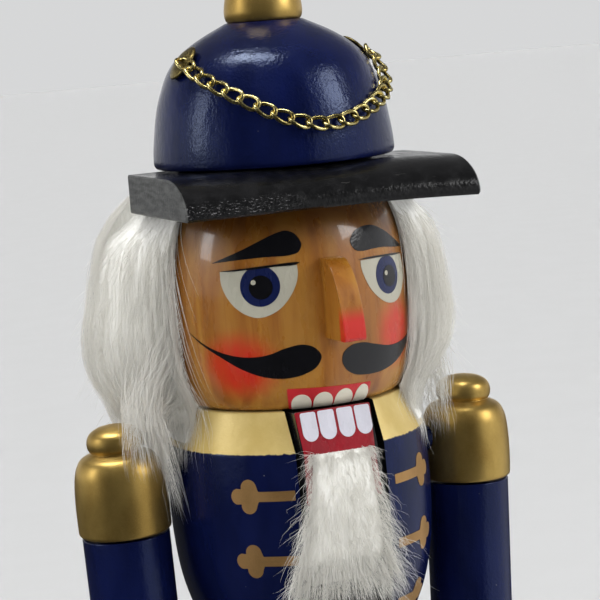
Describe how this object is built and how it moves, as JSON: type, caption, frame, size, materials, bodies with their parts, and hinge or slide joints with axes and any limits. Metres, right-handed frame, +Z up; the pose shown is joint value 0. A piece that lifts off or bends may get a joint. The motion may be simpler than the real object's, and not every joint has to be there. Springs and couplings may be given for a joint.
{
  "type": "nutcracker soldier figure",
  "caption": "Free-standing turned-wood nutcracker soldier with a peaked, domed hat, fur hair and beard, swinging arms and a jaw that a lever behind the back opens.",
  "frame": {"origin": "centre of the flat underside of the base, where the figure stands", "axes": "+Z up along the figure's turning axis, -Y the way the face looks, +X to the figure's own left hand"},
  "size_m": [0.1214, 0.094, 0.38],
  "materials": {
    "navy_painted_wood": "gloss paint over turned wood",
    "black_painted_wood": "gloss paint over wood",
    "gold_painted_wood": "satin metallic gold paint over turned wood",
    "white_painted_wood": "semi-gloss paint over turned wood",
    "varnished_wood": "clear gloss varnish over honey-stained wood",
    "bare_wood": "unfinished",
    "white_fur": "long-pile faux fur on a woven backing",
    "black_vinyl": "grained strip",
    "brass": "dull, handled",
    "steel": "drawn wire"
  },
  "bodies": {
    "figure": {"base_block": "black_painted_wood", "leg_left": "white_painted_wood", "leg_right": "white_painted_wood", "toe_left": "black_painted_wood", "toe_right": "black_painted_wood", "foot_dowel_left": "bare_wood", "foot_dowel_right": "bare_wood", "hip_dowel_left": "bare_wood", "hip_dowel_right": "bare_wood", "torso": "navy_painted_wood", "belt": "black_vinyl", "belt_buckle": "brass", "jaw_pivot_pin": "steel", "neck_dowel_left": "bare_wood", "neck_dowel_right": "bare_wood", "head": "varnished_wood", "nose": "varnished_wood", "hair": "white_fur", "hat_dowel": "bare_wood", "visor": "black_painted_wood", "hat_dome": "navy_painted_wood", "rosette_left": "brass", "rosette_right": "brass", "hat_knob": "gold_painted_wood", "knob_dowel": "bare_wood", "hat_chain": "brass", "shoulder_dowel_left": "bare_wood", "shoulder_dowel_right": "bare_wood"},
    "jaw": {"jaw_lever": "black_painted_wood", "beard": "white_fur"},
    "left_arm": {"epaulette_left": "gold_painted_wood", "sleeve_left": "navy_painted_wood", "cuff_left": "gold_painted_wood", "hand_left": "varnished_wood"},
    "right_arm": {"epaulette_right": "gold_painted_wood", "sleeve_right": "navy_painted_wood", "cuff_right": "gold_painted_wood", "hand_right": "varnished_wood"}
  },
  "joints": [
    {"name": "jaw_hinge", "type": "hinge", "parent": "figure", "child": "jaw", "pos_m": [0, 0.008, 0.222], "axis": [1, 0, 0], "range_deg": [0, 22]},
    {"name": "left_arm_swing", "type": "hinge", "parent": "figure", "child": "left_arm", "pos_m": [0.0385, 0, 0.249], "axis": [-1, 0, 0], "range_deg": [-25, 90]},
    {"name": "right_arm_swing", "type": "hinge", "parent": "figure", "child": "right_arm", "pos_m": [-0.0385, 0, 0.249], "axis": [-1, 0, 0], "range_deg": [-25, 90]}
  ]
}
